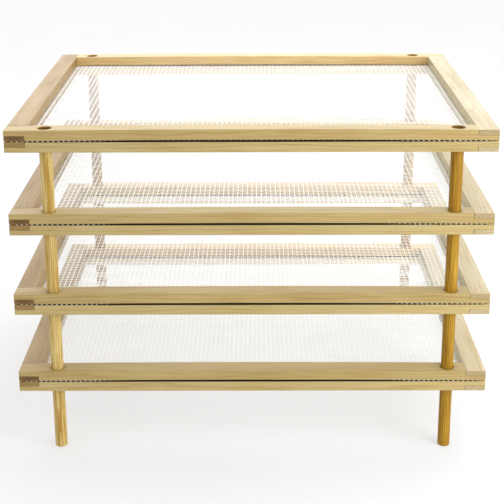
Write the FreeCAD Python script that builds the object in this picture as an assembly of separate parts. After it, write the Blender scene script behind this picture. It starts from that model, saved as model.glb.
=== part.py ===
"""Stacking drying rack: four identical wooden trays with net bottoms, standing on round pegs.

Each tray is two half-lapped frames of four rails, glued one on the other with a net between them.
Four pegs pin the two frames together near the corners and stand out below as the tray's legs. A peg
stops short of the tray's top face, and the socket left above it takes the peg of the next tray up.
A peg is as long as the trays are far apart, so the pegs stand end on end when the trays are stacked.

Units are millimetres. The origin is on the floor at the middle of the rack, +Z is up, +X runs along
the long rails and -Y is the front.
"""

import FreeCAD
import Part
import math
import os

# Driving dimensions
tray_width = 380.0        # outside, along X
tray_depth = 300.0        # outside, along Y
rail_width = 16.0
layer_thickness = 8.5     # one frame; a tray has two
seam = 0.5                # between the frames at the corners, where they pinch the net
long_rail_bow = 0.9       # how far an upper long rail's middle rises; a shorter rail curves as much
edge_radius = 0.5         # eased edges of every rail
glue_line = 0.15          # left between the faces of a corner joint

leg_diameter = 10.0
leg_inset = 30.5          # from a tray's end to the pegs' axes, along the long rails
leg_glue_clearance = 0.02
leg_chamfer = 0.6
leg_below_tray = 53.0     # how far a peg stands out under its tray
socket_diameter = 10.6
socket_depth = 3.0
socket_chamfer = 0.3

net_thickness = 0.4
net_side_margin = 4.5     # from the tray's left and right faces to the net's cut edges
net_front_margin = 0.8    # from the tray's front and back faces to the net's cut edges
net_leg_clearance = 0.3

staple_crown = 10.0
staple_leg = 6.0
staple_wire_width = 0.9
staple_wire_thickness = 0.4
staple_press = 0.15       # how far a crown presses into the net
staple_pitch_limit = 70.0  # the most between two staples along a rail
staple_end_margin = 50.0   # from a rail's end to its first staple

tray_names = ["bottom_tray", "lower_tray", "upper_tray", "top_tray"]

# Worked out from the driving dimensions
tray_thickness = 2 * layer_thickness + seam
tray_pitch = tray_thickness + leg_below_tray - socket_depth
leg_length = leg_below_tray + tray_thickness - socket_depth
leg_x = tray_width / 2 - leg_inset
leg_y = (tray_depth - rail_width) / 2
lap_height = layer_thickness / 2
cut_margin = 1.0          # how far a cutting solid runs past what it cuts

UP = FreeCAD.Vector(0, 0, 1)
ORIGIN = FreeCAD.Vector(0, 0, 0)

# side: (turn about Z in degrees, rail length, centre of the rail, has pegs)
sides = {
    "front": (0, tray_width, FreeCAD.Vector(0, -leg_y, 0), True),
    "right": (90, tray_depth, FreeCAD.Vector((tray_width - rail_width) / 2, 0, 0), False),
    "back": (180, tray_width, FreeCAD.Vector(0, leg_y, 0), True),
    "left": (270, tray_depth, FreeCAD.Vector(-(tray_width - rail_width) / 2, 0, 0), False),
}


def bow_of(length):
    """How far an upper rail of this length rises at its middle: every rail has the same curvature."""
    return long_rail_bow * (length / tray_width) ** 2


def bowed_edge(length, z, bow):
    """The long line of a rail's side view at height z: straight, or an arc that rises by bow."""
    start = FreeCAD.Vector(-length / 2, 0, z)
    end = FreeCAD.Vector(length / 2, 0, z)
    if not bow:
        return Part.LineSegment(start, end).toShape()
    return Part.Arc(start, FreeCAD.Vector(0, 0, z + bow), end).toShape()


def bar(length, bow):
    """A rail before its joints are cut: along X, from z = 0 to the layer's thickness, all edges eased."""
    half = length / 2
    top = layer_thickness
    uprights = [
        Part.LineSegment(FreeCAD.Vector(x, 0, 0), FreeCAD.Vector(x, 0, top)).toShape()
        for x in (-half, half)
    ]
    outline = Part.__sortEdges__(
        [bowed_edge(length, 0, bow), bowed_edge(length, top, bow)] + uprights
    )
    solid = Part.Face(Part.Wire(outline)).extrude(FreeCAD.Vector(0, rail_width, 0))
    solid.translate(FreeCAD.Vector(0, -rail_width / 2, 0))
    return solid.makeFillet(edge_radius, solid.Edges)


def lap_waste(length, end, from_top):
    """What is cut away at one end of a rail for its half-lap: end is -1 or 1 along X."""
    along = rail_width + glue_line + cut_margin
    depth = lap_height + glue_line / 2 + cut_margin
    x = length / 2 - rail_width - glue_line if end > 0 else -length / 2 - cut_margin
    z = lap_height - glue_line / 2 if from_top else -cut_margin
    corner = FreeCAD.Vector(x, -rail_width / 2 - cut_margin, z)
    return Part.makeBox(along, rail_width + 2 * cut_margin, depth, corner)


def leg_hole(x, upper):
    """The hole for one peg in a long rail, with the wider socket and its eased rim in an upper rail."""
    tight = leg_diameter / 2 + leg_glue_clearance
    height = layer_thickness + long_rail_bow + 2 * cut_margin
    hole = Part.makeCylinder(tight, height, FreeCAD.Vector(x, 0, -cut_margin), UP)
    if not upper:
        return hole
    wide = socket_diameter / 2
    floor = layer_thickness - socket_depth
    socket = Part.makeCylinder(wide, socket_depth + cut_margin, FreeCAD.Vector(x, 0, floor), UP)
    rim_height = socket_chamfer + long_rail_bow
    rim = Part.makeCone(
        wide, wide + rim_height, rim_height,
        FreeCAD.Vector(x, 0, layer_thickness - socket_chamfer), UP,
    )
    return hole.fuse([socket, rim])


def rail(length, upper, has_legs):
    """One rail in its own place: centred on the origin, along X, with its half-laps and peg holes.

    Going round a frame, each rail lies over the next one at its first end and under the one before
    at its last end. The lower frame's joints are the upper frame's turned over.
    """
    solid = bar(length, bow_of(length) if upper else 0)
    waste = [lap_waste(length, -1, not upper), lap_waste(length, 1, upper)]
    if has_legs:
        hole_x = length / 2 - leg_inset
        waste += [leg_hole(x, upper) for x in (-hole_x, hole_x)]
    return solid.cut(waste)


def leg():
    """One peg, standing on z = 0, with both ends chamfered."""
    solid = Part.makeCylinder(leg_diameter / 2, leg_length)
    ends = [e for e in solid.Edges if isinstance(e.Curve, Part.Circle)]
    return solid.makeChamfer(leg_chamfer, ends)


def net():
    """The net as a closed sheet from z = 0 up, cut short of the outer faces and round the pegs."""
    width = tray_width - 2 * net_side_margin
    depth = tray_depth - 2 * net_front_margin
    sheet = Part.makeBox(
        width, depth, net_thickness, FreeCAD.Vector(-width / 2, -depth / 2, 0)
    )
    holes = [
        Part.makeCylinder(
            leg_diameter / 2 + net_leg_clearance, net_thickness + 2 * cut_margin,
            FreeCAD.Vector(x, y, -cut_margin), UP,
        )
        for x in (-leg_x, leg_x)
        for y in (-leg_y, leg_y)
    ]
    return sheet.cut(holes)


def staple():
    """A wire staple with its crown along X, pressed into the net, whose underside is z = 0."""
    half = staple_crown / 2
    crown_z = net_thickness - staple_press
    crown = Part.makeBox(
        staple_crown, staple_wire_width, staple_wire_thickness,
        FreeCAD.Vector(-half, -staple_wire_width / 2, crown_z),
    )
    legs = [
        Part.makeBox(
            staple_wire_thickness, staple_wire_width, staple_leg + crown_z,
            FreeCAD.Vector(x, -staple_wire_width / 2, -staple_leg),
        )
        for x in (-half, half - staple_wire_thickness)
    ]
    return crown.fuse(legs).removeSplitter()


def staple_stations(length):
    """Where a rail's staples are along it, evenly spaced about its middle."""
    run = length - 2 * staple_end_margin
    gaps = math.ceil(run / staple_pitch_limit)
    return [-run / 2 + run * i / gaps for i in range(gaps + 1)]


def staples(side):
    """One rail's staples, in the tray's place with the net's underside at z = 0."""
    turn, length, centre = sides[side][:3]
    made = []
    for x in staple_stations(length):
        one = staple()
        one.translate(FreeCAD.Vector(x, 0, 0))
        one.rotate(ORIGIN, UP, turn)
        one.translate(centre)
        made.append(one)
    return made


def raised(shape, z):
    """A copy of a shape, moved up by z."""
    copy = shape.copy()
    copy.translate(FreeCAD.Vector(0, 0, z))
    return copy


def tray():
    """Every piece of one tray, by name, with the ends of its pegs at z = 0."""
    net_z = leg_below_tray + layer_thickness
    wires = {side: [raised(s, net_z) for s in staples(side)] for side in sides}
    all_wires = [wire for side in sides for wire in wires[side]]
    pieces = {}
    for side, (turn, length, centre, has_legs) in sides.items():
        for layer, z in (("lower", leg_below_tray), ("upper", net_z + seam)):
            made = rail(length, layer == "upper", has_legs)
            made.rotate(ORIGIN, UP, turn)
            made.translate(centre + FreeCAD.Vector(0, 0, z))
            if layer == "lower":
                made = made.cut(wires[side])
            pieces[f"{side}_{layer}_rail"] = made
    pieces["net"] = raised(net(), net_z).cut(all_wires)
    pieces["net_staples"] = Part.makeCompound(all_wires)
    for y_name, y in (("front", -leg_y), ("back", leg_y)):
        for x_name, x in (("left", -leg_x), ("right", leg_x)):
            peg = leg()
            peg.translate(FreeCAD.Vector(x, y, 0))
            pieces[f"{y_name}_{x_name}_leg"] = peg
    return pieces


def main():
    """Writes one STEP file for each piece of each tray."""
    os.makedirs("parts", exist_ok=True)
    one_tray = tray()
    for level, tray_name in enumerate(tray_names):
        for piece_name, shape in one_tray.items():
            placed = raised(shape, level * tray_pitch)
            placed.exportStep(f"parts/{tray_name}_{piece_name}.step")


main()
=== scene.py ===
"""Stacking drying rack: timber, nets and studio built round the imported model.

The rails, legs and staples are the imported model's own nodes and get their finishes here. Each net is
woven from thread and stands for the model's flat net. Everything is in metres, in the model's frame:
+Z up, -Y the front, the origin on the floor at the middle of the rack.
"""

from __future__ import annotations

import logging
import math
from dataclasses import dataclass, field
from enum import Enum

import bpy
from mathutils import Matrix, Vector

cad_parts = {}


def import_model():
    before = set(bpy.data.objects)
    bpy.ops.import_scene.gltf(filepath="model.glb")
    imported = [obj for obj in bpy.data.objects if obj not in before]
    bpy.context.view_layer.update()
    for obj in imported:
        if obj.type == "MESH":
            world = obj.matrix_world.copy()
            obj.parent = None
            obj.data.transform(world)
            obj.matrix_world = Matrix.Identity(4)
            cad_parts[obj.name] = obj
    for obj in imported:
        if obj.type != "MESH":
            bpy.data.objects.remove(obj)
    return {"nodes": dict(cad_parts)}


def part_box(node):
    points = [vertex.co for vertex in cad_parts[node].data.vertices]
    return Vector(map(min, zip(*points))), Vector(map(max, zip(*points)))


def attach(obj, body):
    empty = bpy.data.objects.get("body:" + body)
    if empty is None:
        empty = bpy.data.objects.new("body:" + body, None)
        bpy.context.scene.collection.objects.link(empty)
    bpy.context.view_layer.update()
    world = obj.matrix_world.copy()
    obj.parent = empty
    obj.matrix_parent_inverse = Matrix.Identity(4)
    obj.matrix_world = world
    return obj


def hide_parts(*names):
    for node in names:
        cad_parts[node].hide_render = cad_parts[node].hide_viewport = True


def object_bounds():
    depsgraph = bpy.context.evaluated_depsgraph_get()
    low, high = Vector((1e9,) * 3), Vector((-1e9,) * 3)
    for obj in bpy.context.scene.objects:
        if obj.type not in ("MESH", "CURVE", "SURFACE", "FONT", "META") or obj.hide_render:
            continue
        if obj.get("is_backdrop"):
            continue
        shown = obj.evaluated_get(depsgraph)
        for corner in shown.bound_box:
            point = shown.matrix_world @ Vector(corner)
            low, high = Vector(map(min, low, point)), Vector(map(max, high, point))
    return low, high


LOG = logging.getLogger("drying_rack")
MM = 0.001
NOWHERE = 10000.0                    # mm: far outside every piece

Triple = tuple[float, float, float]
Colour = Triple
Span = tuple[float, float]


class Tray(Enum):
    """The trays from the floor up, by the name of their body."""

    BOTTOM = "bottom_tray"
    LOWER = "lower_tray"
    UPPER = "upper_tray"
    TOP = "top_tray"


class Side(Enum):
    """The sides of a tray."""

    FRONT = "front"
    RIGHT = "right"
    BACK = "back"
    LEFT = "left"


class Layer(Enum):
    """The two frames of a tray."""

    UPPER = "upper"
    LOWER = "lower"


class Grain(Enum):
    """Which way the grain of a piece runs, with the turn that lays it along X."""

    ALONG_X = Matrix.Identity(3)
    ALONG_Y = Matrix.Rotation(-math.pi / 2, 3, "Z")
    ALONG_Z = Matrix.Rotation(math.pi / 2, 3, "Y")


class Nodes:
    """Adds nodes to one tree and joins them up."""

    def __init__(self, tree: bpy.types.NodeTree) -> None:
        """Starts on a tree.

        Args:
            tree: a shader or geometry node tree.
        """
        self.tree = tree

    def put(self, socket: bpy.types.NodeSocket, value: object) -> None:
        """Links an output socket to an input, or sets the input to a plain value.

        Args:
            socket: the input.
            value: an output socket, or what the input holds.
        """
        if isinstance(value, bpy.types.NodeSocket):
            self.tree.links.new(value, socket)
        else:
            socket.default_value = value

    def add(
        self, kind: str, inputs: dict[str | int, object] | None = None, **settings: object
    ) -> bpy.types.Node:
        """Adds a node.

        Args:
            kind: the node's type.
            inputs: what goes into its sockets, by name or place.
            settings: the node's own properties.

        Returns:
            The node.
        """
        node = self.tree.nodes.new(kind)
        for name, value in settings.items():
            setattr(node, name, value)
        for key, value in (inputs or {}).items():
            self.put(node.inputs[key], value)
        return node

    def math(self, operation: str, *values: object) -> bpy.types.NodeSocket:
        """The result of a Math node on sockets or numbers."""
        return self.add("ShaderNodeMath", dict(enumerate(values)), operation=operation).outputs[0]

    def vector(self, operation: str, *values: object) -> bpy.types.NodeSocket:
        """The vector result of a Vector Math node on sockets or vectors."""
        return self.add("ShaderNodeVectorMath", dict(enumerate(values)), operation=operation).outputs[0]

    def length(self, vector: object) -> bpy.types.NodeSocket:
        """The length of a vector."""
        return self.add("ShaderNodeVectorMath", {0: vector}, operation="LENGTH").outputs["Value"]

    def split(self, vector: bpy.types.NodeSocket) -> bpy.types.NodeOutputs:
        """The three parts of a vector."""
        return self.add("ShaderNodeSeparateXYZ", {0: vector}).outputs

    def combine(self, x: object, y: object, z: object) -> bpy.types.NodeSocket:
        """A vector from three parts."""
        return self.add("ShaderNodeCombineXYZ", {0: x, 1: y, 2: z}).outputs[0]

    def ramp(
        self, value: object, low: object, high: object, to_low: float = 0.0, to_high: float = 1.0
    ) -> bpy.types.NodeSocket:
        """A smooth step of value from to_low at low to to_high at high.

        Args:
            value: what is mapped.
            low: where the step starts.
            high: where it ends.
            to_low: the result up to low.
            to_high: the result from high on.

        Returns:
            The mapped value.
        """
        given = {
            "Value": value, "From Min": low, "From Max": high, "To Min": to_low, "To Max": to_high,
        }
        return self.add("ShaderNodeMapRange", given, interpolation_type="SMOOTHSTEP").outputs["Result"]

    def noise(
        self, where: object, density: Triple, detail: float = 2.0, roughness: float = 0.5
    ) -> bpy.types.NodeOutputs:
        """A noise texture.

        Args:
            where: the point it is read at.
            density: how many of its humps there are for each unit along each axis.
            detail: how many finer layers it has.
            roughness: how strong those are.

        Returns:
            The noise's outputs, Fac and Color.
        """
        place = self.vector("MULTIPLY", where, density)
        given = {"Vector": place, "Scale": 1.0, "Detail": detail, "Roughness": roughness}
        return self.add("ShaderNodeTexNoise", given).outputs

    def in_mm(self) -> bpy.types.NodeSocket:
        """The place on the object, in millimetres, in a material."""
        place = self.add("ShaderNodeTexCoord").outputs["Object"]
        return self.vector("MULTIPLY", place, (1 / MM, 1 / MM, 1 / MM))

    def mix(
        self, share: object, first: object, second: object, blend: str = "MIX"
    ) -> bpy.types.NodeSocket:
        """A colour between two.

        Args:
            share: how much of the second.
            first: a colour or its socket.
            second: a colour or its socket.
            blend: the way they are blended.

        Returns:
            The mixed colour.
        """
        node = self.add("ShaderNodeMix", data_type="RGBA", blend_type=blend)
        self.put(node.inputs[0], share)
        self.put(node.inputs[6], (*first, 1.0) if isinstance(first, tuple) else first)
        self.put(node.inputs[7], (*second, 1.0) if isinstance(second, tuple) else second)
        return node.outputs[2]


def new_material(name: str) -> tuple[bpy.types.Material, Nodes, bpy.types.Node]:
    """A material with a Principled shader ready for its inputs.

    Args:
        name: the material's name.

    Returns:
        The material, its nodes and its shader.
    """
    material = bpy.data.materials.new(name)
    material.use_nodes = True
    material.node_tree.nodes.clear()
    nodes = Nodes(material.node_tree)
    shader = nodes.add("ShaderNodeBsdfPrincipled")
    nodes.add("ShaderNodeOutputMaterial", {"Surface": shader.outputs[0]})
    return material, nodes, shader


def dress(piece: bpy.types.Object, material: bpy.types.Material) -> None:
    """Gives a piece one material."""
    piece.data.materials.clear()
    piece.data.materials.append(material)


@dataclass(frozen=True)
class Timber:
    """A kind of bare wood: colours, growth rings, fibres and end grain, drawn in millimetres.

    Densities are humps per mm: along the grain, across it and up. Steps are the stretch of a noise's
    range over which its effect comes in. Depths are the mm over which a tone fades out.
    """

    name: str
    pale: Colour
    deep: Colour
    ring_width: float = 2.4
    ring_wander: float = 3.2         # in ring widths
    ring_strength: float = 0.45
    early_to_late: Span = (0.35, 0.86)  # in shares of a ring
    late_to_early: Span = (0.88, 1.0)
    faintest_year: float = 0.45
    year_range: float = 0.7
    wander_density: Triple = (0.010, 0.10, 0.10)
    blotch_density: Triple = (0.014, 0.07, 0.07)
    fibre_density: Triple = (0.035, 1.5, 1.5)
    hair_density: Triple = (0.16, 6.0, 6.0)
    fleck_density: Triple = (0.30, 2.6, 5.5)
    pore_density: Triple = (0.4, 3.4, 3.4)
    fibre_step: Span = (0.30, 0.72)
    hair_step: Span = (0.35, 0.75)
    fleck_step: Span = (0.62, 0.74)
    warm_step: Span = (0.45, 0.70)
    end_pore_step: Span = (0.42, 0.68)
    arris_pore_step: Span = (0.35, 0.6)
    blotch_strength: float = 0.8
    fibre_strength: float = 0.55
    hair_share: float = 0.22         # of the fibres' strength
    fleck_strength: float = 0.35
    warm_tone: Colour = (1.0, 0.93, 0.80)
    warm_strength: float = 0.35
    end_tone: Colour = (0.80, 0.76, 0.70)
    end_depth: Span = (0.15, 0.75)
    end_pores: float = 0.55
    end_rings: float = 0.6
    arris_depth: Span = (0.1, 0.8)
    arris_wear: float = 0.45
    # painted shade: the dark inside of the seam between a tray's two frames, laid onto the faces that meet
    # there
    seam_shade_tone: Colour = (0.05, 0.032, 0.022)
    seam_shade_depth: Span = (0.10, 0.34)
    seam_shade_start: Span = (3.5, 6.0)    # from the rail's end
    # painted shade on the walls of the leg holes, in an end-grain tone
    hole_shade_tone: Colour = (0.52, 0.40, 0.19)
    hole_shade_depth: Span = (0.08, 0.30)
    roughness: float = 0.42
    fibre_roughness: float = 0.22
    blotch_roughness: float = 0.16
    end_roughness: float = 0.25
    polish: float = 0.5
    relief: float = 0.12 * MM        # of a height of 1
    relief_strength: float = 0.6
    fibre_height: float = 0.5
    hair_height: float = 0.35
    ring_height: float = 0.3
    fleck_depth: float = 0.4

    def in_seam_shade(
        self, n: Nodes, given: bpy.types.NodeOutputs, along: object, up: object
    ) -> bpy.types.NodeSocket:
        """How far a place is on the face that a rail turns to the other frame, which gets painted shade for
        the dark seam.

        Args:
            n: the group's nodes.
            given: the group's inputs.
            along: the place along the grain, in mm from the middle.
            up: its height, in mm from the middle.

        Returns:
            1 on that face, 0 off it.
        """
        share = n.math("DIVIDE", along, given["Half length"])
        arch = n.math("MULTIPLY", given["Bow"], n.math("SUBTRACT", 1.0, n.math("MULTIPLY", share, share)))
        depth = n.math("SUBTRACT", given["Half thickness"], n.math("MULTIPLY", given["Seam side"], up))
        from_end = n.math("SUBTRACT", given["Half length"], n.math("ABSOLUTE", along))
        on_face = n.ramp(n.math("SUBTRACT", depth, arch), *self.seam_shade_depth, 1.0, 0.0)
        return n.math("MULTIPLY", on_face, n.ramp(from_end, *self.seam_shade_start))

    def in_hole_shade(
        self, n: Nodes, given: bpy.types.NodeOutputs, along: object, across: object
    ) -> bpy.types.NodeSocket:
        """How far a place is on the wall of a leg's hole, which gets painted shade in an end-grain tone.

        Args:
            n: the group's nodes.
            given: the group's inputs.
            along: the place along the grain, in mm from the middle.
            across: the place across the rail, in mm from the middle.

        Returns:
            1 on the wall, 0 off it.
        """
        from_hole = n.math("SUBTRACT", n.math("ABSOLUTE", along), given["Hole place"])
        distance = n.length(n.combine(from_hole, across, 0.0))
        past_wall = n.math("SUBTRACT", distance, given["Hole radius"])
        return n.ramp(past_wall, *self.hole_shade_depth, 1.0, 0.0)

    def figure(self) -> bpy.types.NodeTree:
        """The node group that turns a place in the wood into its colour, roughness and height.

        Returns:
            The group. Its Place is in mm from the middle of the piece, with the grain along X.
        """
        tree = bpy.data.node_groups.new(f"{self.name}_figure", "ShaderNodeTree")
        sizes = ("Half length", "Half width", "Half thickness", "Bow", "Hole place", "Hole radius")
        for label in ("Place", "Shift", "Pith"):
            tree.interface.new_socket(label, in_out="INPUT", socket_type="NodeSocketVector")
        for label in (*sizes, "Seam side"):
            tree.interface.new_socket(label, in_out="INPUT", socket_type="NodeSocketFloat")
        tree.interface.new_socket("Tint", in_out="INPUT", socket_type="NodeSocketColor")
        tree.interface.new_socket("Color", in_out="OUTPUT", socket_type="NodeSocketColor")
        for label in ("Roughness", "Height"):
            tree.interface.new_socket(label, in_out="OUTPUT", socket_type="NodeSocketFloat")
        n = Nodes(tree)
        given = n.add("NodeGroupInput").outputs
        place = given["Place"]
        along, across, up = n.split(place)[0:3]
        moved = n.vector("ADD", place, given["Shift"])
        wander = n.noise(moved, self.wander_density)["Fac"]
        blotch = n.noise(moved, self.blotch_density, 1.0)["Fac"]
        fibre = n.noise(moved, self.fibre_density, 3.0, 0.6)["Fac"]
        hair = n.noise(moved, self.hair_density, 2.0, 0.6)["Fac"]
        pores = n.noise(moved, self.pore_density, 2.0, 0.7)["Fac"]
        fleck = n.ramp(n.noise(moved, self.fleck_density, 1.0)["Fac"], *self.fleck_step)
        patchy = n.math("SUBTRACT", blotch, 0.5)
        ring = self.ring(n, n.vector("SUBTRACT", place, given["Pith"]), wander)

        tone = n.math("MULTIPLY", ring, self.ring_strength)
        tone = n.math("MULTIPLY_ADD", n.ramp(fibre, *self.fibre_step), self.fibre_strength, tone)
        hair_strength = self.hair_share * self.fibre_strength
        tone = n.math("MULTIPLY_ADD", n.ramp(hair, *self.hair_step), hair_strength, tone)
        tone = n.math("MULTIPLY_ADD", patchy, self.blotch_strength, tone)
        tone = n.math("MULTIPLY_ADD", fleck, self.fleck_strength, tone)
        tone = n.add("ShaderNodeClamp", {0: tone}).outputs[0]
        colour = n.mix(tone, self.pale, self.deep)
        warm = n.math("MULTIPLY", n.ramp(blotch, *self.warm_step), self.warm_strength)
        colour = n.mix(warm, colour, self.warm_tone, "MULTIPLY")

        to_end = n.math("SUBTRACT", given["Half length"], n.math("ABSOLUTE", along))
        end = n.ramp(to_end, *self.end_depth, 1.0, 0.0)
        end_rings = n.math("MULTIPLY", ring, self.end_rings)
        end_pores = n.ramp(pores, *self.end_pore_step)
        end_tone = n.math("MULTIPLY_ADD", end_pores, self.end_pores, end_rings)
        end_colour = n.mix(end_tone, colour, self.deep)
        end_colour = n.mix(1.0, end_colour, self.end_tone, "MULTIPLY")
        colour = n.mix(end, colour, end_colour)

        to_side = n.math("SUBTRACT", given["Half width"], n.math("ABSOLUTE", across))
        to_face = n.math("SUBTRACT", given["Half thickness"], n.math("ABSOLUTE", up))
        side_edge = n.ramp(to_side, *self.arris_depth, 1.0, 0.0)
        face_edge = n.ramp(to_face, *self.arris_depth, 1.0, 0.0)
        arris = n.math("MULTIPLY", side_edge, face_edge)
        arris = n.math("MULTIPLY", arris, n.ramp(pores, *self.arris_pore_step))
        colour = n.mix(n.math("MULTIPLY", arris, self.arris_wear), colour, self.pale)
        colour = n.mix(1.0, colour, given["Tint"], "MULTIPLY")
        # painted shade in the seam between the two frames
        colour = n.mix(self.in_seam_shade(n, given, along, up), colour, self.seam_shade_tone, "MULTIPLY")
        # painted shade on the walls of the leg holes
        colour = n.mix(self.in_hole_shade(n, given, along, across), colour, self.hole_shade_tone, "MULTIPLY")

        rough = n.math("MULTIPLY_ADD", n.math("SUBTRACT", fibre, 0.5), self.fibre_roughness, self.roughness)
        rough = n.math("MULTIPLY_ADD", patchy, self.blotch_roughness, rough)
        rough = n.math("MULTIPLY_ADD", end, self.end_roughness, rough)
        height = n.math("MULTIPLY_ADD", hair, self.hair_height, n.math("MULTIPLY", fibre, self.fibre_height))
        height = n.math("MULTIPLY_ADD", ring, self.ring_height, height)
        height = n.math("MULTIPLY_ADD", fleck, -self.fleck_depth, height)
        n.add("NodeGroupOutput", {"Color": colour, "Roughness": rough, "Height": height})
        return tree

    def ring(self, n: Nodes, from_pith: object, wander: object) -> bpy.types.NodeSocket:
        """How much of a place is dark late wood.

        Args:
            n: the group's nodes.
            from_pith: the place from the middle of the tree, in mm.
            wander: how far the rings stray there, from 0 to 1.

        Returns:
            0 in early wood, and up to about 1 in the late wood of a good year.
        """
        radius = n.length(n.vector("MULTIPLY", from_pith, (0.0, 1.0, 1.0)))
        count = n.math("DIVIDE", radius, self.ring_width)
        phase = n.math("MULTIPLY_ADD", wander, self.ring_wander, count)
        part = n.math("FRACT", phase)
        late = n.math(
            "MULTIPLY", n.ramp(part, *self.early_to_late), n.ramp(part, *self.late_to_early, 1.0, 0.0))
        year = n.add("ShaderNodeTexWhiteNoise", {"W": n.math("FLOOR", phase)}, noise_dimensions="1D")
        strength = n.math("MULTIPLY_ADD", year.outputs["Value"], self.year_range, self.faintest_year)
        return n.math("MULTIPLY", late, strength)


@dataclass(frozen=True)
class Stain:
    """A dark patch of old sap in one end of a rail, in mm from the middle of the rail."""

    centre: Triple
    reach: Triple = (8.0, 12.0, 3.6)
    tone: Colour = (0.40, 0.34, 0.10)
    strength: float = 0.95
    fade: Span = (0.25, 1.15)        # in shares of the reach
    ragged_density: Triple = (0.2, 0.30, 1.1)
    raggedness: float = 1.6

    def over(
        self, n: Nodes, place: bpy.types.NodeSocket, colour: bpy.types.NodeSocket
    ) -> bpy.types.NodeSocket:
        """Lays the patch over a colour.

        Args:
            n: the material's nodes.
            place: the place in the wood, in mm.
            colour: the wood's colour there.

        Returns:
            The stained colour.
        """
        reach = tuple(1.0 / r for r in self.reach)
        offset = n.vector("MULTIPLY", n.vector("SUBTRACT", place, self.centre), reach)
        ragged = n.noise(place, self.ragged_density, 3.0, 0.65)["Color"]
        ragged = n.vector("SUBTRACT", ragged, (0.5, 0.5, 0.5))
        ragged = n.vector("MULTIPLY", ragged, (self.raggedness,) * 3)
        distance = n.length(n.vector("ADD", offset, ragged))
        share = n.math("MULTIPLY", n.ramp(distance, *self.fade, 1.0, 0.0), self.strength)
        return n.mix(share, colour, self.tone, "MULTIPLY")


@dataclass
class Board:
    """One wooden piece: its node, the way its grain runs, and how its wood is cut and coloured."""

    node: str
    timber: Timber
    figure: bpy.types.NodeTree
    grain: Grain
    shift: Triple                    # mm to the stretch of wood that this piece shows
    pith: Triple                     # mm from its middle to the middle of the tree
    # for a rail, this tint includes painted light and shade for its side
    tint: Colour
    has_arrises: bool = True
    seam_side: float = 0.0           # 1 where the seam is over the rail, -1 where it is under
    bow: float = 0.0                 # mm
    hole_place: float = NOWHERE      # mm from the middle to a leg's axis
    hole_radius: float = 0.0         # mm
    stain: Stain | None = None

    def material(self) -> bpy.types.Material:
        """The piece's own material.

        Returns:
            A material whose pattern is centred on the piece and runs along its grain.
        """
        low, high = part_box(self.node)
        turn = self.grain.value
        middle = turn @ ((low + high) / 2)
        half = [abs(h) for h in turn @ (high - low) / 2 / MM]
        material, n, shader = new_material(f"{self.node}_{self.timber.name}")
        mapping = n.add("ShaderNodeMapping", {"Vector": n.add("ShaderNodeTexCoord").outputs["Object"]})
        mapping.inputs["Location"].default_value = -middle / MM
        mapping.inputs["Rotation"].default_value = turn.to_euler()
        mapping.inputs["Scale"].default_value = (1 / MM, 1 / MM, 1 / MM)
        place = mapping.outputs["Vector"]
        edge = half[1:] if self.has_arrises else [NOWHERE, NOWHERE]
        group = n.add("ShaderNodeGroup", node_tree=self.figure)
        given = {
            "Place": place, "Shift": self.shift, "Pith": self.pith, "Half length": half[0],
            "Half width": edge[0], "Half thickness": edge[1], "Seam side": self.seam_side,
            "Bow": self.bow, "Hole place": self.hole_place, "Hole radius": self.hole_radius,
            "Tint": (*self.tint, 1.0),
        }
        for label, value in given.items():
            n.put(group.inputs[label], value)
        colour = group.outputs["Color"]
        if self.stain:
            colour = self.stain.over(n, place, colour)
        relief = {
            "Height": group.outputs["Height"], "Strength": self.timber.relief_strength,
            "Distance": self.timber.relief,
        }
        bump = n.add("ShaderNodeBump", relief)
        n.put(shader.inputs["Base Color"], colour)
        n.put(shader.inputs["Roughness"], group.outputs["Roughness"])
        n.put(shader.inputs["Normal"], bump.outputs["Normal"])
        shader.inputs["Specular IOR Level"].default_value = self.timber.polish
        return material


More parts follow.
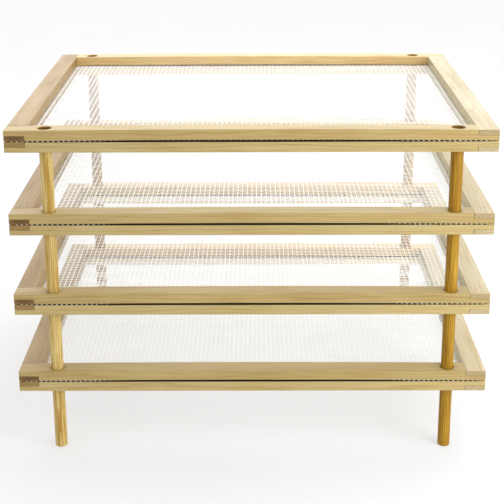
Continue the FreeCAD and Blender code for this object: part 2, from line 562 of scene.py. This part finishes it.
@dataclass
class TrayFrames:
    """The eight rails of one tray and the finish of each, with painted light and shade for each side.

    A rail's rank among all rails picks its cut of wood: the waves below never repeat over the ranks.
    """

    tray: Tray
    timber: Timber
    figure: bpy.types.NodeTree
    layer_tint: dict[Layer, Colour] = field(default_factory=lambda: {
        Layer.UPPER: (0.92, 0.91, 0.88), Layer.LOWER: (1.05, 1.09, 1.14)})
    side_light_tint: dict[Side, Colour] = field(default_factory=lambda: {
        # painted light and shade: each side's rails made lighter or darker by how the light falls on that
        # side
        Side.FRONT: (1.0, 1.0, 1.0), Side.RIGHT: (1.22, 1.39, 2.25),
        Side.BACK: (1.62, 1.58, 1.93), Side.LEFT: (0.80, 0.69, 0.57)})
    socket_play: float = 0.3         # mm between a leg and the wall of the socket it stands in
    shift_step: Triple = (137.0, 23.0, 11.0)  # mm from one rail's stretch of wood to the next's
    tone_swing: float = 0.05
    tone_wave: float = 2.4
    pith_side: float = 34.0          # mm
    pith_side_wave: float = 1.7
    pith_depth: float = -30.0        # mm
    pith_depth_swing: float = -9.0   # mm
    pith_depth_wave: float = 2.9
    stain_place: Span = (-0.5, -2.0)  # mm across the rail and up, from its middle

    def stain_for(self, side: Side, layer: Layer, node: str) -> Stain | None:
        """The sap stain in the front end of the upper left rail.

        Args:
            side: the rail's side.
            layer: the rail's frame.
            node: the rail's node.

        Returns:
            The stain, or None for a clean rail.
        """
        if (side, layer) != (Side.LEFT, Layer.UPPER):
            return None
        low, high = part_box(node)
        half_length = (high.y - low.y) / 2 / MM
        return Stain(centre=(-half_length, *self.stain_place))

    def boards(self) -> list[Board]:
        """Every rail with its own cut of wood.

        Returns:
            The rails, upper frame first.
        """
        made = []
        level = list(Tray).index(self.tray)
        for j, layer in enumerate(Layer):
            for i, side in enumerate(Side):
                node = f"{self.tray.value}_{side.value}_{layer.value}_rail"
                rank = (level * len(Layer) + j) * len(Side) + i
                grain = Grain.ALONG_X if side in (Side.FRONT, Side.BACK) else Grain.ALONG_Y
                swing = self.tone_swing * math.sin(self.tone_wave * rank)
                # the side's factor in this tint is painted light and shade
                tint = tuple(a * b for a, b in zip(self.layer_tint[layer], self.side_light_tint[side]))
                tint = tuple(t * (1 + swing) for t in tint)
                aside = self.pith_side * math.cos(self.pith_side_wave * rank)
                below = self.pith_depth + self.pith_depth_swing * math.sin(self.pith_depth_wave * rank)
                pith = (0.0, aside, below)
                shift = tuple(step * rank for step in self.shift_step)
                board = Board(node, self.timber, self.figure, grain, shift, pith, tint)
                board.stain = self.stain_for(side, layer, node)
                if grain is Grain.ALONG_X:
                    board.seam_side = 1.0 if layer is Layer.LOWER else -1.0
                    board.bow = self.bow_of(side) if layer is Layer.UPPER else 0.0
                    board.hole_place, board.hole_radius = self.hole_of(layer)
                made.append(board)
        return made

    def bow_of(self, side: Side) -> float:
        """How far the middle of an upper rail rises, which makes its box taller than the lower one's.

        Args:
            side: the rail's side.

        Returns:
            The rise in mm.
        """
        height = {}
        for layer in Layer:
            low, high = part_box(f"{self.tray.value}_{side.value}_{layer.value}_rail")
            height[layer] = (high.z - low.z) / MM
        return height[Layer.UPPER] - height[Layer.LOWER]

    def hole_of(self, layer: Layer) -> Span:
        """Where the holes for the legs are in a long rail.

        Args:
            layer: the rail's frame.

        Returns:
            The distance from the rail's middle to a hole's axis, and the hole's radius, in mm.
        """
        low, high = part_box(f"{self.tray.value}_back_right_leg")
        radius = (high.x - low.x) / 2 / MM
        return (low.x + high.x) / 2 / MM, radius + (self.socket_play if layer is Layer.UPPER else 0.0)

    def build(self, nodes: dict[str, bpy.types.Object]) -> None:
        """Finishes the tray's rails.

        Args:
            nodes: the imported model's nodes.
        """
        for board in self.boards():
            dress(nodes[board.node], board.material())
            LOG.info("finished %s", board.node)


@dataclass
class TrayLegs:
    """The four legs of one tray, each turned from its own piece of dowel."""

    tray: Tray
    timber: Timber
    figure: bpy.types.NodeTree
    tints: dict[str, Colour] = field(default_factory=lambda: {
        "front_left_leg": (1.60, 1.90, 2.95), "front_right_leg": (0.96, 0.85, 0.24),
        "back_left_leg": (1.10, 1.00, 0.80), "back_right_leg": (1.15, 1.10, 1.00)})
    shift_step: Triple = (91.0, 17.0, 29.0)  # mm from one leg's stretch of wood to the next's
    pith_reach: Span = (13.0, 11.0)  # mm
    pith_wave: float = 2.1

    def build(self, nodes: dict[str, bpy.types.Object]) -> None:
        """Finishes the tray's legs.

        Args:
            nodes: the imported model's nodes.
        """
        level = list(Tray).index(self.tray)
        for i, (leg, tint) in enumerate(self.tints.items()):
            rank = level * len(self.tints) + i
            node = f"{self.tray.value}_{leg}"
            angle = self.pith_wave * rank
            pith = (0.0, self.pith_reach[0] * math.cos(angle), self.pith_reach[1] * math.sin(angle))
            shift = tuple(step * rank for step in self.shift_step)
            board = Board(
                node, self.timber, self.figure, Grain.ALONG_Z, shift, pith, tint, has_arrises=False)
            dress(nodes[node], board.material())
            LOG.info("finished %s", node)


@dataclass(frozen=True)
class Thread:
    """White plastic thread: nearly matt, a little uneven in tone along its run."""

    tone: Colour = (0.93, 0.935, 0.93)
    dull: Colour = (0.84, 0.845, 0.835)
    cloud_density: Triple = (0.04, 0.04, 0.04)  # per mm
    grit_density: Triple = (2.2, 2.2, 2.2)
    cloud_step: Span = (0.4, 0.8)
    grit_step: Span = (0.55, 0.8)
    dullest: float = 0.5             # how dull cloud or grit alone makes it
    roughness: float = 0.42
    roughness_range: float = 0.2
    relief: float = 0.04 * MM
    relief_strength: float = 0.4

    def material(self) -> bpy.types.Material:
        """The thread's material, made once for all nets.

        Returns:
            The material.
        """
        material, n, shader = new_material("white_thread")
        place = n.in_mm()
        cloud = n.noise(place, self.cloud_density, 3.0)["Fac"]
        grit = n.noise(place, self.grit_density)["Fac"]
        clouded = n.ramp(cloud, *self.cloud_step, 0.0, self.dullest)
        share = n.math("MULTIPLY_ADD", n.ramp(grit, *self.grit_step), self.dullest, clouded)
        n.put(shader.inputs["Base Color"], n.mix(share, self.tone, self.dull))
        uneven = n.math("SUBTRACT", grit, 0.5)
        rough = n.math("MULTIPLY_ADD", uneven, self.roughness_range, self.roughness)
        n.put(shader.inputs["Roughness"], rough)
        relief = {"Height": grit, "Strength": self.relief_strength, "Distance": self.relief}
        bump = n.add("ShaderNodeBump", relief)
        n.put(shader.inputs["Normal"], bump.outputs["Normal"])
        return material


@dataclass(frozen=True)
class Wire:
    """Zinc-plated staple wire with drawing lines."""

    bright: Colour = (0.66, 0.66, 0.68)
    dark: Colour = (0.38, 0.38, 0.40)
    line_density: Triple = (1.2, 9.0, 1.2)  # per mm
    spangle_density: Triple = (1.6, 1.6, 1.6)
    line_step: Span = (0.4, 0.7)
    spangle_step: Span = (0.45, 0.7)
    line_strength: float = 0.5
    spangle_strength: float = 0.4
    roughness: float = 0.36
    roughness_range: float = 0.3
    relief: float = 0.03 * MM
    relief_strength: float = 0.3

    def material(self) -> bpy.types.Material:
        """The wire's material.

        Returns:
            The material.
        """
        material, n, shader = new_material("staple_zinc")
        place = n.in_mm()
        lines = n.noise(place, self.line_density)["Fac"]
        spangle = n.noise(place, self.spangle_density, 1.0)["Fac"]
        spangled = n.ramp(spangle, *self.spangle_step, 0.0, self.spangle_strength)
        tone = n.math("MULTIPLY_ADD", n.ramp(lines, *self.line_step), self.line_strength, spangled)
        n.put(shader.inputs["Base Color"], n.mix(tone, self.bright, self.dark))
        shader.inputs["Metallic"].default_value = 1.0
        uneven = n.math("SUBTRACT", lines, 0.5)
        rough = n.math("MULTIPLY_ADD", uneven, self.roughness_range, self.roughness)
        n.put(shader.inputs["Roughness"], rough)
        relief = {"Height": lines, "Strength": self.relief_strength, "Distance": self.relief}
        bump = n.add("ShaderNodeBump", relief)
        n.put(shader.inputs["Normal"], bump.outputs["Normal"])
        return material


@dataclass
class Weave:
    """The pattern that every net is woven to, as a Geometry Nodes tree with its sizes as inputs."""

    pitch: float = 4.0 * MM
    thread_radius: float = 0.27 * MM
    rise: float = 0.14 * MM          # of a thread's middle over the net's plane where it crosses another
    bead_radius: float = 0.74 * MM   # of the melted end of a thread
    bead_flatness: float = 0.45      # its height for its width
    fringe: float = 3.0 * MM         # of bare thread ends at the front and back, at the least
    wander: float = 0.30 * MM
    wander_density: Triple = (28.0, 28.0, 28.0)  # humps per m
    sag: float = 0.8 * MM
    pull: float = 3.5 * MM           # how far stretching draws the middle of the front and back edges in
    pulled_stretch: Span = (0.50, 0.72)  # where that ends, in half widths from the middle
    sides: int = 5                   # of a thread
    bead_sides: int = 6
    bead_rings: int = 4

    def sizes(self) -> dict[str, float]:
        """The tree's inputs that are the same for every net.

        Returns:
            Each input's value by its name.
        """
        return {
            "Pitch": self.pitch, "Thread radius": self.thread_radius, "Rise": self.rise,
            "Bead radius": self.bead_radius, "Fringe": self.fringe, "Wander": self.wander,
            "Sag": self.sag, "Pull": self.pull,
        }

    def tree(self) -> bpy.types.NodeTree:
        """Builds the tree.

        Returns:
            The tree. It makes the threads of one net about the middle of its plane.
        """
        tree = bpy.data.node_groups.new("net_weave", "GeometryNodeTree")
        floats = ["Half width", "Half depth", "Open half width", "Open half depth", "Leg X", "Leg Y",
                  "Leg hole radius", "Height", "Seed", *self.sizes()]
        for label in floats:
            tree.interface.new_socket(label, in_out="INPUT", socket_type="NodeSocketFloat")
        tree.interface.new_socket("Material", in_out="INPUT", socket_type="NodeSocketMaterial")
        tree.interface.new_socket("Geometry", in_out="OUTPUT", socket_type="NodeSocketGeometry")
        n = Nodes(tree)
        given = n.add("NodeGroupInput").outputs
        along_x = self.threads(n, given, runs_along_x=True)
        along_y = self.threads(n, given, runs_along_x=False)
        joined = n.add("GeometryNodeJoinGeometry")
        for part in (*along_x, *along_y):
            tree.links.new(part, joined.inputs[0])
        real = n.add("GeometryNodeRealizeInstances", {0: joined.outputs[0]})
        smooth = n.add("GeometryNodeSetShadeSmooth", {0: real.outputs[0]})
        coated = n.add("GeometryNodeSetMaterial", {0: smooth.outputs[0], "Material": given["Material"]})
        n.add("NodeGroupOutput", {"Geometry": coated.outputs[0]})
        return tree

    def row(self, n: Nodes, half: object, pitch: object, along_x: bool, extra: int) -> bpy.types.NodeSocket:
        """A line of points one pitch apart along X or Y, with one at its middle.

        Args:
            n: the tree's nodes.
            half: half the length that the points stay within.
            pitch: the step between points.
            along_x: whether the line runs along X.
            extra: how many points more at each end, past that length.

        Returns:
            The line as a mesh.
        """
        steps = n.math("ADD", n.math("FLOOR", n.math("DIVIDE", half, pitch)), float(extra))
        start = n.math("MULTIPLY", n.math("MULTIPLY", steps, pitch), -1.0)
        total = n.math("MULTIPLY_ADD", steps, 2.0, 1.0)
        if along_x:
            origin, step = n.combine(start, 0.0, 0.0), n.combine(pitch, 0.0, 0.0)
        else:
            origin, step = n.combine(0.0, start, 0.0), n.combine(0.0, pitch, 0.0)
        line = n.add("GeometryNodeMeshLine", mode="OFFSET", count_mode="TOTAL")
        n.put(line.inputs["Count"], total)
        n.put(line.inputs["Start Location"], origin)
        n.put(line.inputs["Offset"], step)
        return line.outputs[0]

    def placed(
        self, n: Nodes, given: bpy.types.NodeOutputs, points: bpy.types.NodeSocket, over: float
    ) -> bpy.types.NodeSocket:
        """Lays points into the net: trimmed to its edges, woven, a little uneven and sagging.

        Args:
            n: the tree's nodes.
            given: the tree's inputs.
            points: the points, on the plane z = 0.
            over: 1 for the threads that cross over at the middle, -1 for those that cross under.

        Returns:
            The points in their places.
        """
        half_width, half_depth = given["Half width"], given["Half depth"]
        x, y = n.split(n.add("GeometryNodeInputPosition").outputs[0])[0:2]
        x = self.kept_within(n, x, half_width)
        from_middle = n.math("DIVIDE", n.math("ABSOLUTE", x), half_width)
        drawn_in = n.ramp(from_middle, *self.pulled_stretch, 1.0, 0.0)
        edge = n.math("SUBTRACT", half_depth, n.math("MULTIPLY", drawn_in, given["Pull"]))
        y = self.kept_within(n, y, edge)
        turns = n.math("DIVIDE", n.math("ADD", x, y), given["Pitch"])
        wave = n.math("COSINE", n.math("MULTIPLY", turns, math.pi))
        rise = n.math("MULTIPLY", n.math("MULTIPLY", wave, given["Rise"]), over)
        hang = n.math("MULTIPLY", *(
            self.hang_along(n, at, given[span])
            for at, span in ((x, "Open half width"), (y, "Open half depth"))
        ))
        woven_z = n.math("ADD", rise, given["Height"])
        z = n.math("MULTIPLY_ADD", hang, n.math("MULTIPLY", given["Sag"], -1.0), woven_z)
        drift = n.noise(n.combine(x, y, given["Seed"]), self.wander_density, 1.0)["Color"]
        drift = n.vector("SUBTRACT", drift, (0.5, 0.5, 0.5))
        drift = n.vector("MULTIPLY", drift, n.combine(given["Wander"], given["Wander"], 0.0))
        place = n.vector("ADD", n.combine(x, y, z), drift)
        return n.add("GeometryNodeSetPosition", {"Geometry": points, "Position": place}).outputs[0]

    def hang_along(self, n: Nodes, at: object, span: object) -> bpy.types.NodeSocket:
        """How much the net hangs for a place on one axis: 1 at the middle, 0 from half its span out."""
        fall = n.math("POWER", n.math("DIVIDE", at, span), 2.0)
        return n.math("MAXIMUM", n.math("SUBTRACT", 1.0, fall), 0.0)

    def kept_within(self, n: Nodes, value: object, limit: object) -> bpy.types.NodeSocket:
        """A value held between minus a limit and that limit."""
        return n.math("MAXIMUM", n.math("MINIMUM", value, limit), n.math("MULTIPLY", limit, -1.0))

    def threads(
        self, n: Nodes, given: bpy.types.NodeOutputs, runs_along_x: bool
    ) -> tuple[bpy.types.NodeSocket, bpy.types.NodeSocket]:
        """One of the net's two sets of threads.

        Args:
            n: the tree's nodes.
            given: the tree's inputs.
            runs_along_x: whether these threads run along X.

        Returns:
            The threads and the beads on their ends.
        """
        length = "Half width" if runs_along_x else "Half depth"
        spread = given["Half width"]
        if runs_along_x:
            spread = n.math("SUBTRACT", given["Half depth"], given["Fringe"])
        pitch, over = given["Pitch"], 1.0 if runs_along_x else -1.0
        one = self.row(n, given[length], pitch, runs_along_x, extra=1)
        starts = self.row(n, spread, pitch, not runs_along_x, extra=0)
        laid = n.add("GeometryNodeInstanceOnPoints", {"Points": starts, "Instance": one})
        lines = n.add("GeometryNodeRealizeInstances", {0: laid.outputs[0]}).outputs[0]
        x, y = n.split(n.add("GeometryNodeInputPosition").outputs[0])[0:2]
        from_leg = n.combine(
            n.math("SUBTRACT", n.math("ABSOLUTE", x), given["Leg X"]),
            n.math("SUBTRACT", n.math("ABSOLUTE", y), given["Leg Y"]), 0.0)
        pierced = n.math("LESS_THAN", n.length(from_leg), given["Leg hole radius"])
        whole = n.add("GeometryNodeDeleteGeometry", {"Geometry": lines, "Selection": pierced}, domain="POINT")
        path = n.add("GeometryNodeMeshToCurve", {0: self.placed(n, given, whole.outputs[0], over)})
        outline = {"Resolution": self.sides, "Radius": given["Thread radius"]}
        ring = n.add("GeometryNodeCurvePrimitiveCircle", outline)
        tube = n.add("GeometryNodeCurveToMesh", {0: path.outputs[0], 1: ring.outputs[0]})
        tube.inputs["Fill Caps"].default_value = True

        ends = n.add("GeometryNodeJoinGeometry")
        for direction in (-1.0, 1.0):
            reach = n.math("MULTIPLY", given[length], direction)
            offset = n.combine(reach, 0.0, 0.0) if runs_along_x else n.combine(0.0, reach, 0.0)
            moved = n.add("GeometryNodeSetPosition", {"Geometry": starts, "Offset": offset})
            n.tree.links.new(moved.outputs[0], ends.inputs[0])
        globe = {"Segments": self.bead_sides, "Rings": self.bead_rings, "Radius": given["Bead radius"]}
        ball = n.add("GeometryNodeMeshUVSphere", globe)
        on_ends = self.placed(n, given, ends.outputs[0], over)
        beads = n.add("GeometryNodeInstanceOnPoints", {"Points": on_ends, "Instance": ball.outputs[0]})
        beads.inputs["Scale"].default_value = (1.0, 1.0, self.bead_flatness)
        return tube.outputs[0], beads.outputs[0]


@dataclass
class TrayNet:
    """The net of one tray, woven from thread."""

    tray: Tray
    weave: Weave
    tree: bpy.types.NodeTree
    thread: bpy.types.Material
    hole_margin: float = 0.8 * MM    # from a leg to the nearest whole thread

    def sizes(self) -> dict[str, float]:
        """The net's sizes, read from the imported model.

        Returns:
            What the weave's own inputs are for this net.
        """
        low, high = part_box(f"{self.tray.value}_net")
        leg_low, leg_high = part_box(f"{self.tray.value}_back_right_leg")
        inner_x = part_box(f"{self.tray.value}_right_lower_rail")[0].x
        inner_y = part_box(f"{self.tray.value}_back_lower_rail")[0].y
        leg_radius = (leg_high.x - leg_low.x) / 2
        return {
            "Half width": (high.x - low.x) / 2, "Half depth": (high.y - low.y) / 2,
            "Open half width": inner_x, "Open half depth": inner_y,
            "Leg X": (leg_low.x + leg_high.x) / 2, "Leg Y": (leg_low.y + leg_high.y) / 2,
            "Leg hole radius": leg_radius + self.hole_margin,
            "Height": low.z + self.weave.thread_radius + self.weave.rise / 2,
            "Seed": float(list(Tray).index(self.tray)),
        }

    def build(self) -> bpy.types.Object:
        """Weaves the net as a plain mesh that rides on its tray and stands for the model's flat net.

        Returns:
            The net.
        """
        name = f"{self.tray.value}_woven_net"
        net = bpy.data.objects.new(name, bpy.data.meshes.new(name))
        bpy.context.scene.collection.objects.link(net)
        modifier = net.modifiers.new("weave", "NODES")
        modifier.node_group = self.tree
        values = {**self.weave.sizes(), **self.sizes(), "Material": self.thread}
        for item in self.tree.interface.items_tree:
            if item.item_type == "SOCKET" and item.in_out == "INPUT":
                modifier[item.identifier] = values[item.name]
        graph = bpy.context.evaluated_depsgraph_get()
        woven = bpy.data.meshes.new_from_object(net.evaluated_get(graph))
        net.modifiers.remove(modifier)
        net.data = woven
        woven.name = name
        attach(net, self.tray.value)
        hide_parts(f"{self.tray.value}_net")
        LOG.info("wove %s with %d faces", name, len(woven.polygons))
        return net


@dataclass(frozen=True)
class Softbox:
    """A square soft light."""

    name: str
    place: Triple
    size: float                      # m
    power: float                     # W

    def build(self, target: Vector) -> None:
        """Hangs the light in its place.

        Args:
            target: what it points at.
        """
        data = bpy.data.lights.new(self.name, "AREA")
        data.shape, data.size, data.energy = "SQUARE", self.size, self.power
        lamp = bpy.data.objects.new(self.name, data)
        lamp.location = self.place
        lamp.rotation_mode = "QUATERNION"
        lamp.rotation_quaternion = (Vector(self.place) - target).to_track_quat("Z", "Y")
        bpy.context.scene.collection.objects.link(lamp)


@dataclass
class Studio:
    """A white table and surround, two soft lights and the camera."""

    lens: float = 85.7               # mm
    sensor: float = 36.0             # mm
    camera_place: Triple = (0.0035, -1.0366, 0.5068)
    tilt_down: float = math.radians(16.97)
    turn_left: float = math.radians(0.2)
    roll: float = math.radians(-0.18)
    frame_shift: float = -0.15       # up, in frame widths
    clip: Span = (0.05, 50.0)
    surround: float = 1.08
    backdrop: float = 2.1            # how bright the surround is straight behind the rack
    backdrop_start: Span = (0.1, 0.95)  # how far round to the back it comes in: 0 beside, 1 behind
    floor_size: float = 30.0
    floor_tones: tuple[Colour, Colour] = ((0.29, 0.29, 0.29), (0.32, 0.32, 0.32))
    floor_density: Triple = (6.0, 6.0, 6.0)  # humps per m
    floor_roughness: float = 0.9
    floor_polish: float = 0.1
    floor_glow: float = 0.52         # stands for the light that a far larger white sweep sends back
    softboxes: tuple[Softbox, ...] = (
        Softbox("front_right_softbox", (0.62, -0.52, 0.36), 0.5, 4.8),
        Softbox("overhead_softbox", (0.3, 0.5, 1.6), 1.2, 12.0),
    )

    def camera(self) -> bpy.types.Object:
        """Sets up the camera in front of the rack.

        Returns:
            The camera.
        """
        data = bpy.data.cameras.new("camera")
        data.lens, data.sensor_width = self.lens, self.sensor
        data.shift_y = self.frame_shift
        data.clip_start, data.clip_end = self.clip
        camera = bpy.data.objects.new("camera", data)
        turn = (
            Matrix.Rotation(self.turn_left, 4, "Z")
            @ Matrix.Rotation(math.pi / 2 - self.tilt_down, 4, "X")
            @ Matrix.Rotation(self.roll, 4, "Z")
        )
        camera.matrix_world = Matrix.Translation(self.camera_place) @ turn
        bpy.context.scene.collection.objects.link(camera)
        bpy.context.scene.camera = camera
        return camera

    def world(self) -> None:
        """Makes the white surround."""
        world = bpy.data.worlds.new("surround")
        world.use_nodes = True
        world.node_tree.nodes.clear()
        n = Nodes(world.node_tree)
        towards = n.split(n.add("ShaderNodeTexCoord").outputs["Generated"])
        strength = n.ramp(towards[1], *self.backdrop_start, self.surround, self.backdrop)
        sky = n.add("ShaderNodeBackground", {"Color": (1.0, 1.0, 1.0, 1.0), "Strength": strength})
        n.add("ShaderNodeOutputWorld", {"Surface": sky.outputs[0]})
        bpy.context.scene.world = world

    def floor(self) -> bpy.types.Object:
        """Lays the white table under the rack.

        Returns:
            The table's top.
        """
        half = self.floor_size / 2
        mesh = bpy.data.meshes.new("table_top")
        corners = [(-half, -half, 0), (half, -half, 0), (half, half, 0), (-half, half, 0)]
        mesh.from_pydata(corners, [], [(0, 1, 2, 3)])
        floor = bpy.data.objects.new("table_top", mesh)
        bpy.context.scene.collection.objects.link(floor)
        material, n, shader = new_material("white_table")
        place = n.add("ShaderNodeTexCoord").outputs["Object"]
        cloud = n.noise(place, self.floor_density)["Fac"]
        n.put(shader.inputs["Base Color"], n.mix(cloud, *self.floor_tones))
        shader.inputs["Roughness"].default_value = self.floor_roughness
        shader.inputs["Specular IOR Level"].default_value = self.floor_polish
        shader.inputs["Emission Color"].default_value = (1.0, 1.0, 1.0, 1.0)
        shader.inputs["Emission Strength"].default_value = self.floor_glow
        dress(floor, material)
        floor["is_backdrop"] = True
        return floor

    def build(self, middle: Vector) -> None:
        """Builds the surround, table and lights.

        Args:
            middle: the middle of the rack.
        """
        self.world()
        self.floor()
        for softbox in self.softboxes:
            softbox.build(middle)
        view = bpy.context.scene.view_settings
        view.view_transform, view.look = "Standard", "None"
        view.exposure, view.gamma = 0.0, 1.0


def main() -> None:
    """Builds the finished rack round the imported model."""
    logging.basicConfig(level=logging.INFO, format="%(name)s: %(message)s")
    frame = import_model()
    model_low, model_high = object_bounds()
    nodes = frame["nodes"]
    studio = Studio()
    studio.camera()
    rail_timber = Timber("pale_rail_wood", pale=(0.43, 0.325, 0.130), deep=(0.30, 0.205, 0.060))
    leg_timber = Timber(
        "leg_wood", pale=(0.42, 0.285, 0.080), deep=(0.21, 0.105, 0.012), ring_width=1.5,
        ring_strength=0.50, fibre_strength=0.85, fleck_strength=0.45, roughness=0.50, polish=0.2)
    rail_figure, leg_figure = rail_timber.figure(), leg_timber.figure()
    weave, thread, wire = Weave(), Thread().material(), Wire().material()
    weave_tree = weave.tree()
    for tray in Tray:
        TrayFrames(tray, rail_timber, rail_figure).build(nodes)
        TrayLegs(tray, leg_timber, leg_figure).build(nodes)
        TrayNet(tray, weave, weave_tree, thread).build()
        dress(nodes[f"{tray.value}_net_staples"], wire)
        LOG.info("finished %s_net_staples", tray.value)
    studio.build((model_low + model_high) / 2)


if __name__ == "__main__":
    main()
